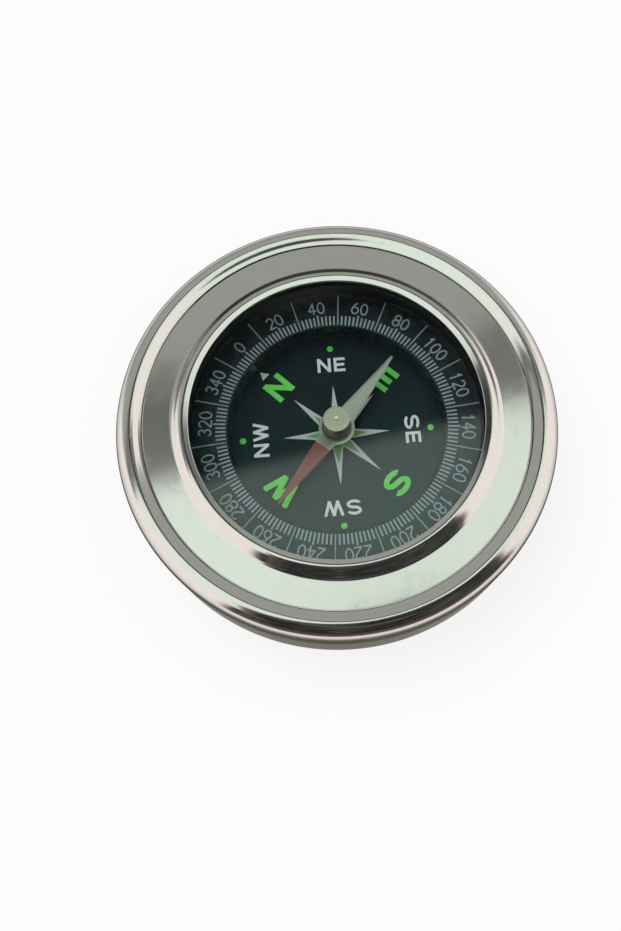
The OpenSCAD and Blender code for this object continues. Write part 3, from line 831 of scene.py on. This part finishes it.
class COMPASS_OT_base_cup(bpy.types.Operator):
    """Draw the base cup with its rounded corner, upright wall and neck"""

    bl_idname = "compass.base_cup"
    bl_label = "Base cup"

    def execute(self, context):
        s = context.scene.compass_case
        high = low_high("base_cup")[1]
        radius, sheet, corner = high.x, mm(s.cup_sheet), mm(s.corner_radius)
        shoulder = low_high("bezel")[0].z - mm(s.shut_gap)
        neck = radius - mm(s.neck_inset)
        centre = (radius - corner, corner)
        bend = (radius - NUDGE, shoulder)
        outline = (
            [(0, 0)] + arc(centre, corner, -90, 0)
            + eased((radius, corner), bend, (neck, shoulder), SHOULDER_ROUND)
            + [(neck, shoulder), (neck, high.z), (neck - sheet, high.z),
               (neck - sheet, shoulder - sheet), (radius - sheet, shoulder - sheet)]
            + arc(centre, corner - sheet, 0, -90) + [(0, sheet)]
        )
        piece = turned("Base_cup", outline)
        metal = drawn_metal(context.scene.compass_finishes.drawn_with_painted_reflection)
        place(piece, "case", "base_cup", metal)
        return {"FINISHED"}


class COMPASS_OT_window(bpy.types.Operator):
    """Set the window, its soft ring and the black wall that carries them"""

    bl_idname = "compass.window"
    bl_label = "Window"

    def execute(self, context):
        s = context.scene.compass_dial
        finishes = context.scene.compass_finishes
        low, high = low_high("lens")
        outline = section(0, high.x, low.z, high.z)
        piece = turned("Window_glass", rounded(outline, mm(s.window_edge), (1, 2)))
        place(piece, "case", "lens", clear_window(finishes.glass))

        soft_low, soft_high = low_high("lens_gasket")
        inner = mm(context.scene.compass_case.opening_radius) + SOFT_RING_INSET
        outline = section(inner, soft_high.x, soft_low.z, soft_high.z)
        piece = turned("Window_soft_ring", rounded(outline, SOFT_RING_ROUND))
        place(piece, "case", "lens_gasket", soft_rubber())

        wall_low, wall_high = low_high("spacer_ring")
        bore = high.x - mm(s.spacer_ledge)
        lip = high.x + WINDOW_SEAT_GAP
        outer = lip + mm(s.spacer_lip)
        flange = wall_low.z + mm(s.spacer_flange)
        outline = [
            (bore, wall_low.z), (bore, low.z), (lip, low.z), (lip, wall_high.z), (outer, wall_high.z),
            (outer, flange), (wall_high.x, flange), (wall_high.x, wall_low.z),
        ]
        piece = turned("Window_wall", rounded(outline, WALL_ROUND, (1, 3, 4)))
        black = black_moulding("Black_wall_moulding", finishes.moulding, roughness=0.5, grain_scale=5)
        place(piece, "case", "spacer_ring", black)
        paint("dial_tray", black_moulding("Grey_carrier_moulding", CARRIER, roughness=0.5, grain_scale=4))
        return {"FINISHED"}


class COMPASS_OT_dial(bpy.types.Operator):
    """Lay the black dial and the raised scale ring, and print the star, the letters and the numbers"""

    bl_idname = "compass.dial"
    bl_label = "Dial"

    def execute(self, context):
        s = context.scene.compass_dial
        finishes = context.scene.compass_finishes
        low, high = low_high("dial_plate")
        hole = mm(context.scene.compass_needle.post_radius) + DIAL_HOLE_GAP
        piece = turned("Dial_disc", section(hole, high.x, low.z, high.z))
        black = black_moulding("Matt_black_dial", finishes.dial, roughness=0.22, grain_scale=7, tint=VEIL)
        place(piece, "case", "dial_plate", black)

        low, high = low_high("scale_ring")
        inner, wall, edge = mm(s.scale_inner_radius), mm(s.scale_wall), mm(s.scale_edge)
        outer, roof = high.x, high.z - wall
        outline = [
            (inner, low.z), (inner, high.z - edge), (inner + edge, high.z), (outer, high.z), (outer, low.z),
            (outer - wall, low.z), (outer - wall, roof), (inner + wall, roof), (inner + wall, low.z),
        ]
        piece = turned("Scale_ring", rounded(outline, SCALE_ROUND, (1, 2, 3)))
        black = black_moulding("Satin_black_scale", finishes.scale, roughness=0.24, grain_scale=7, tint=VEIL)
        place(piece, "case", "scale_ring", black)

        paint("rose_star", printed_ink("White_print", finishes.white_ink))
        letters = printed_ink("Letter_print", finishes.letter_ink)
        paint("intercardinal_letters", letters)
        paint("north_pointer", letters)
        paint("rose_inlay", printed_ink("Green_print", finishes.green_ink))
        paint("scale_numerals", printed_ink("Scale_print", finishes.scale_ink))
        paint("cardinal_letters", luminous_paint(finishes.luminous))
        return {"FINISHED"}


class COMPASS_OT_marks(bpy.types.Operator):
    """Set the degree marks, the long lines and the luminous dots round the dial"""

    bl_idname = "compass.marks"
    bl_label = "Marks"

    def execute(self, context):
        s = context.scene.compass_dial
        ring_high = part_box("scale_ring")[1]
        start = s.scale_inner_radius + s.tick_inset
        scale_print = bpy.data.materials["Scale_print"]
        even = {"Every": 1, "Left Out": 1, "Longer By": 0.0, "Dots": False}
        printed = {
            **even, "Height": ring_high.z, "Radius": start, "Thickness": s.ink, "Finish": scale_print,
        }
        numbers = s.tick_count // s.line_count
        ticks = ring_of_marks("Degree_marks", {
            **printed, "Count": s.tick_count, "First Angle": 0.0, "Length": s.tick_length,
            "Width": s.tick_width, "Every": numbers, "Left Out": numbers // 2, "Longer By": s.ten_extra,
        })
        place(ticks, "case", "scale_ticks", scale_print)
        lines = ring_of_marks("Long_lines", {
            **printed, "Count": s.line_count, "First Angle": math.pi / s.line_count,
            "Length": ring_high.x - s.line_margin - start, "Width": s.line_width,
        })
        place(lines, "case", "scale_lines", scale_print)
        glow = bpy.data.materials["Luminous_green_paint"]
        dots = ring_of_marks("Luminous_dots", {
            **even, "Count": DOT_COUNT, "First Angle": math.pi / DOT_COUNT, "Radius": s.dot_circle,
            "Length": 0.0, "Width": 2 * s.dot_radius, "Thickness": s.glow,
            "Height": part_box("dial_plate")[1].z, "Dots": True, "Finish": glow,
        })
        place(dots, "case", "luminous_dots", glow)
        return {"FINISHED"}


def blade_arm(s, start, turn):
    """One arm's outline from a start radius to its rounded tip, as points in millimetres."""
    root, tip, reach = mm(s.root_width) / 2, mm(s.tip_width) / 2, mm(s.reach)
    taper = (start - mm(s.root_radius)) / (reach - tip - mm(s.root_radius))
    wide = root + (tip - root) * taper
    points = [(wide, start)] + arc((0, reach - tip), tip, 0, 180, TIP_STEPS) + [(-wide, start)]
    cos, sin = math.cos(turn), math.sin(turn)
    return [(x * cos + y * sin, y * cos - x * sin) for x, y in points]


class COMPASS_OT_needle(bpy.types.Operator):
    """Press the needle's blade, paint its north arm and turn its hub"""

    bl_idname = "compass.needle"
    bl_label = "Needle"

    def execute(self, context):
        s = context.scene.compass_needle
        finishes = context.scene.compass_finishes
        low, high = low_high("needle_blade")
        disc = mm(s.disc_radius)
        start = mm(s.root_radius)
        while math.hypot(start, mm(s.root_width) / 2) > disc:
            start -= START_STEP
        loop = []
        for half in (0, 1):
            turn = s.azimuth + half * math.pi
            arm = blade_arm(s, start, turn)[::-1]
            loop.extend(arm)
            x, y = arm[-1]
            first = math.degrees(math.atan2(y, x))
            nx, ny = -arm[0][0], -arm[0][1]
            last = math.degrees(math.atan2(ny, nx))
            if last > first:
                last -= 360
            loop.extend(arc((0, 0), disc, first - DISC_OVERLAP, last + DISC_OVERLAP, DISC_STEPS))
        bore = mm(s.hub_bore + s.spigot) + HUB_FIT
        hole = arc((0, 0), bore, 0, 360 - 360 / HOLE_SIDES, HOLE_SIDES - 1)
        piece = plate("Needle_blade", [loop, hole], low.z, high.z, mm(s.edge))
        place(piece, "needle", "needle_blade", needle_steel(finishes.needle))

        coat_low, coat_high = low_high("needle_red_coat")
        outline = blade_arm(s, mm(s.red_start), s.azimuth + math.pi)
        piece = plate("Needle_red_coat", [outline], coat_low.z, coat_high.z, COAT_EDGE)
        place(piece, "needle", "needle_red_coat", red_paint(finishes.red))

        hub_low, hub_high = low_high("needle_hub")
        bore, hub, foot = mm(s.hub_bore), mm(s.hub_radius), hub_high.x
        spigot = bore + mm(s.spigot)
        foot_z = high.z + mm(s.foot_height)
        dimple, deep, roof = mm(s.dimple_radius), mm(s.dimple_depth), hub_high.z - mm(s.hub_roof)
        outline = [
            (0, roof), (bore, roof), (bore, hub_low.z), (spigot + SPIGOT_CHAMFER, hub_low.z),
            (spigot + SPIGOT_FLARE, low.z), (spigot, low.z), (spigot, high.z), (foot, high.z), (foot, foot_z),
            (hub, foot_z), (hub, hub_high.z), (dimple, hub_high.z), (0, hub_high.z - deep),
        ]
        piece = turned("Needle_hub", rounded(outline, HUB_ROUND, (8, 10, 11)), SMALL_TURN_STEPS)
        # The hub is painted dark below this height: painted shade and painted reflection of the dark dial on
        # its side
        painted_shade_from = hub_high.z - HUB_PAINTED_SHADE_DEPTH
        metal = turned_metal("Turned_pale_hub", finishes.hub, roughness=0.24, pitch=9, painted_shade_below=painted_shade_from)
        place(piece, "needle", "needle_hub", metal)
        return {"FINISHED"}


class COMPASS_OT_pivot(bpy.types.Operator):
    """Turn the post, the pointed pin and the hollow jewel that rides on it"""

    bl_idname = "compass.pivot"
    bl_label = "Pivot"

    def execute(self, context):
        s = context.scene.compass_needle
        finishes = context.scene.compass_finishes
        low, high = low_high("pivot_post")
        dial_top = low_high("dial_plate")[1].z
        pin_low, pin_high = low_high("pivot_pin")
        post, collar, bore = mm(s.post_radius), high.x, pin_high.x + PIN_FIT
        collar_z = dial_top + mm(s.collar_height)
        outline = [
            (bore, low.z), (post, low.z), (post, dial_top), (collar, dial_top), (collar, collar_z),
            (post, collar_z), (post, high.z), (bore, high.z),
        ]
        piece = turned("Pivot_post", rounded(outline, POST_ROUND, (4, 6)), SMALL_TURN_STEPS)
        metal = turned_metal("Turned_brass", finishes.brass, roughness=0.25, pitch=8)
        place(piece, "case", "pivot_post", metal)

        cone = pin_high.z - mm(s.pin_cone)
        tip = mm(s.pin_tip)
        outline = [
            (0, pin_low.z), (pin_high.x, pin_low.z), (pin_high.x, cone), (tip, pin_high.z - tip / 2),
            (tip / 2, pin_high.z), (0, pin_high.z),
        ]
        piece = turned("Pivot_pin", outline, SMALL_TURN_STEPS)
        metal = turned_metal("Ground_steel", finishes.steel, roughness=0.2, pitch=12)
        place(piece, "case", "pivot_pin", metal)

        cup_low, cup_high = low_high("bearing_cup")
        outline = [
            (0, cup_low.z + mm(s.hollow_depth)), (mm(s.hollow_radius), cup_low.z), (cup_high.x, cup_low.z),
            (cup_high.x, cup_high.z), (0, cup_high.z),
        ]
        piece = turned("Jewel", rounded(outline, JEWEL_ROUND, (2, 3)), SMALL_TURN_STEPS)
        place(piece, "bearing", "bearing_cup", jewel(finishes.jewel))
        return {"FINISHED"}


# Studio and camera

# Pixel measures of the photograph's frame
FRAME_PX = (621, 931)
FOCAL_PX = 868.53
AXIS_PX = (335.0, 439.0)
TARGET_PX = (336.9, 434.6)

# Cards over the object in millimetres: from the axis, corners are to the camera's right and away from it
CARD_HEIGHT = 122
CARD_CORNERS = (
    (4, -23), (42, -13), (58, -19), (152, -88), (450, -280), (-178, -280), (-86, -136), (-37, -54),
)
BROWN_HEIGHT = 123
BROWN_CORNERS = (
    (-6, -27), (4, -23), (52, -10), (64, -19), (166, -88), (470, -280), (-190, -280), (-97, -133), (-47, -51),
)
CARD_SHEEN = (0.13, 0.14, 0.13)

# Edges of the lights in degrees, from none to full. Lean is from straight up towards the far wall,
# and aside is to the right. Three values are a band's two edges and how soft they are
PANEL_NEAR = (-42, -38)
PANEL_FAR = (17.4, 19.0)
PANEL_ASIDE = (-34, 25.5, 4)
PANEL_BLEND = (-16, 4)
WALL_LEAN = (17, 150, 2.5)
WALL_ASIDE = (-50, 50, 8)
WALL_SHADED = (28, 25.5)
WALL_LOW = (60, 95)
WARM_ASIDE = (35, 41)
WARM_LEAN = (29, 34)
DARK_LEAN = (18.2, 28.5, 1)
DARK_ASIDE = (-10.5, 14, 3)
FRONT_HEIGHT = (-20, 40, 4)
FRONT_TURN = (-42, 65, 3)
BROWN_HEIGHTS = (-4, 20, 8)

# How bright the far wall is next to the panel and low down, against its middle
SHADED_SHARE = 0.5
LOW_SHARE = 0.7

# Half the floor's side in metres, and how far the lamp stands away and to the left for each metre of height
FLOOR_HALF = 1.5
LAMP_AWAY = 0.35
LAMP_LEFT = 0.45


def studio_world(s, to_right, away):
    """Light round the object: an overhead panel, warm sides, a grey far wall and dark and brown cards."""
    world = bpy.data.worlds.new("Studio")
    bpy.context.scene.world = world
    world.use_nodes = True
    t = Tree(world.node_tree)
    direction = t.node("ShaderNodeTexCoord").outputs["Generated"]
    x, y, up = t.split(direction)
    degrees = 180 / math.pi
    side = x * to_right.x + y * to_right.y
    back = x * away.x + y * away.y
    front_turn = side.math("ARCTAN2", back * -1) * degrees
    height = up.math("ARCSINE") * degrees
    cos, sin = math.cos(s.panel_turn), math.sin(s.panel_turn)
    along = back * cos - side * sin
    across = side * cos + back * sin
    lean = along.math("ARCTAN2", up) * degrees
    aside = across.math("ARCTAN2", (along * along + up * up).sqrt()) * degrees

    strength = s.panel_strength
    panel = t.mix(aside.step(*PANEL_BLEND), light(s.panel_left, strength), light(s.panel_right, strength))
    shaded, low = light(s.wall, strength * SHADED_SHARE), light(s.wall, strength * LOW_SHARE)
    wall = t.mix(lean.step(*WALL_SHADED), light(s.wall, strength), shaded)
    wall = t.mix(lean.step(*WALL_LOW), wall, low)
    warm = aside.step(*WARM_ASIDE) * (1 - lean.step(*WARM_LEAN))
    on_wall = lean.band(*WALL_LEAN) * aside.band(*WALL_ASIDE) * (1 - warm)
    tone = t.mix(on_wall, light(s.sides, strength), wall)
    tone = t.mix(lean.band(*DARK_LEAN) * aside.band(*DARK_ASIDE), tone, s.dark)
    on_panel = lean.step(*PANEL_NEAR) * (1 - lean.step(*PANEL_FAR)) * aside.band(*PANEL_ASIDE)
    tone = t.mix(on_panel, tone, panel)
    front = t.mix(height.band(*BROWN_HEIGHTS), s.dark, s.brown)
    tone = t.mix(height.band(*FRONT_HEIGHT) * front_turn.band(*FRONT_TURN), tone, front)

    rays = t.node("ShaderNodeLightPath").outputs
    camera = Number(t, rays["Is Camera Ray"])
    mirror = Number(t, rays["Is Glossy Ray"]) + Number(t, rays["Is Transmission Ray"])
    plain = (s.sky_strength,) * 3
    tone = t.mix(mirror.math("MINIMUM", 1.0), plain, tone)
    tone = t.mix(camera, tone, WHITE)
    background = t.node("ShaderNodeBackground", None, {"Color": tone, "Strength": 1.0})
    t.node("ShaderNodeOutputWorld", None, {"Surface": background.outputs[0]})


def flat_sheet(name, corners, material):
    """A flat sheet of the studio, from its corners in metres."""
    mesh = bpy.data.meshes.new(name)
    mesh.from_pydata(corners, [], [range(len(corners))])
    mesh.materials.append(material)
    return add_object(name, mesh)


def card_over(name, tone, height, outline, right, away):
    """Card over the object, beside the camera, which only polished things mirror."""
    m = Finish(name)
    sheen = m.noise(m.place, 0.03, 3, 0.6).step(0.42, 0.75)
    tone = m.mix(sheen, tone, CARD_SHEEN)
    glow = m.node("ShaderNodeEmission", None, {"Color": tone, "Strength": 1.0})
    m.show(glow)
    corners = [(right * x + away * y + Vector((0, 0, height))) * MM for x, y in outline]
    card = flat_sheet(name, corners, m.material)
    card.visible_camera = False
    card.visible_diffuse = False
    card.visible_transmission = False
    card.visible_shadow = False


def pale_floor(s):
    """Pale floor that shows as nearly white to the camera, in metal and in glass, and keeps the shadow."""
    m = Finish("Pale_floor")
    grain = m.noise(m.place, 0.05, 3)
    tone = m.mix(grain, s.floor, shade(s.floor, 0.985))
    m.set(Base_Color=tone, Roughness=0.9, Specular_IOR_Level=0.1)
    rays = m.node("ShaderNodeLightPath").outputs
    seen = Number(m, rays["Is Camera Ray"]) + Number(m, rays["Is Glossy Ray"])
    seen = (seen + Number(m, rays["Is Transmission Ray"])).math("MINIMUM", 1.0)
    white = m.node("ShaderNodeEmission", None, {"Color": WHITE, "Strength": 1.0})
    m.share(seen * s.white_share, white)
    return m.material


class COMPASS_OT_stage(bpy.types.Operator):
    """Lay the pale floor, light the object softly and set the camera"""

    bl_idname = "compass.stage"
    bl_label = "Stage"

    def execute(self, context):
        scene = context.scene
        s = scene.compass_stage
        away = Vector((math.sin(s.away), math.cos(s.away), 0))
        right = Vector((away.y, -away.x, 0))
        studio_world(s, right, away)

        ends = ((-1, -1), (1, -1), (1, 1), (-1, 1))
        corners = [(x * FLOOR_HALF, y * FLOOR_HALF, 0) for x, y in ends]
        floor = flat_sheet("Floor", corners, pale_floor(s))
        card_over("Dark_card", s.dark, CARD_HEIGHT, CARD_CORNERS, right, away)
        card_over("Brown_card", s.brown, BROWN_HEIGHT, BROWN_CORNERS, right, away)

        lamp = bpy.data.lights.new("Soft_lamp", "SUN")
        lamp.energy = s.lamp_strength
        lamp.angle = s.lamp_angle
        lamp_object = add_object("Soft_lamp", lamp)
        aim = (away * LAMP_AWAY - right * LAMP_LEFT + Vector((0, 0, 1))).normalized()
        lamp_object.rotation_euler = aim.to_track_quat("Z", "Y").to_euler()
        lamp_object.visible_glossy = False
        lamp_object.visible_transmission = False

        scene.camera = self.add_camera(s, right, away)
        scene.view_settings.view_transform = "Standard"
        return {"FINISHED"}

    def add_camera(self, s, right, away):
        up = Vector((0, 0, 1))
        forward = away * math.cos(s.elevation) - up * math.sin(s.elevation)
        down = -right.cross(forward)
        cos, sin = math.cos(s.roll), math.sin(s.roll)
        x_axis = right * cos - down * sin
        y_axis = right * sin + down * cos
        aside = (TARGET_PX[0] - AXIS_PX[0]) / FOCAL_PX * s.distance
        below = (TARGET_PX[1] - AXIS_PX[1]) / FOCAL_PX * s.distance
        target = up * s.target_height
        centre = target - x_axis * aside - y_axis * below - forward * s.distance
        camera = bpy.data.cameras.new("Camera")
        camera.sensor_width = 36
        camera.lens = FOCAL_PX / FRAME_PX[1] * camera.sensor_width
        camera.shift_x = (FRAME_PX[0] / 2 - AXIS_PX[0]) / FRAME_PX[1]
        camera.shift_y = (AXIS_PX[1] - FRAME_PX[1] / 2) / FRAME_PX[1]
        camera.clip_start = 0.005
        camera.clip_end = 10
        eye = add_object("Camera", camera)
        columns = Matrix((x_axis, -y_axis, -forward)).transposed().to_4x4()
        eye.matrix_world = Matrix.Translation(centre) @ columns
        return eye


class COMPASS_PT_panel(bpy.types.Panel):
    """Buttons for the compass's pieces"""

    bl_idname = "COMPASS_PT_panel"
    bl_label = "Pocket Compass"
    bl_space_type = "VIEW_3D"
    bl_region_type = "UI"
    bl_category = "Compass"

    def draw(self, context):
        for operator in OPERATORS:
            self.layout.operator(operator.bl_idname)
        for name in GROUPS:
            group = getattr(context.scene, name)
            box = self.layout.box()
            for key in group.__annotations__:
                box.prop(group, key)


GROUPS = {
    "compass_case": CompassCaseSizes,
    "compass_dial": CompassDialSizes,
    "compass_needle": CompassNeedleSizes,
    "compass_finishes": CompassFinishes,
    "compass_stage": CompassStage,
}
OPERATORS = (
    COMPASS_OT_cover,
    COMPASS_OT_base_cup,
    COMPASS_OT_window,
    COMPASS_OT_dial,
    COMPASS_OT_marks,
    COMPASS_OT_needle,
    COMPASS_OT_pivot,
    COMPASS_OT_stage,
)


def register():
    for cls in (*GROUPS.values(), *OPERATORS, COMPASS_PT_panel):
        bpy.utils.register_class(cls)
    for name, cls in GROUPS.items():
        setattr(bpy.types.Scene, name, bpy.props.PointerProperty(type=cls))


def unregister():
    for name in GROUPS:
        delattr(bpy.types.Scene, name)
    for cls in (COMPASS_PT_panel, *reversed(OPERATORS), *GROUPS.values()):
        bpy.utils.unregister_class(cls)


def main():
    register()
    for operator in OPERATORS:
        group, name = operator.bl_idname.split(".")
        getattr(getattr(bpy.ops, group), name)()


if __name__ == "__main__":
    main()
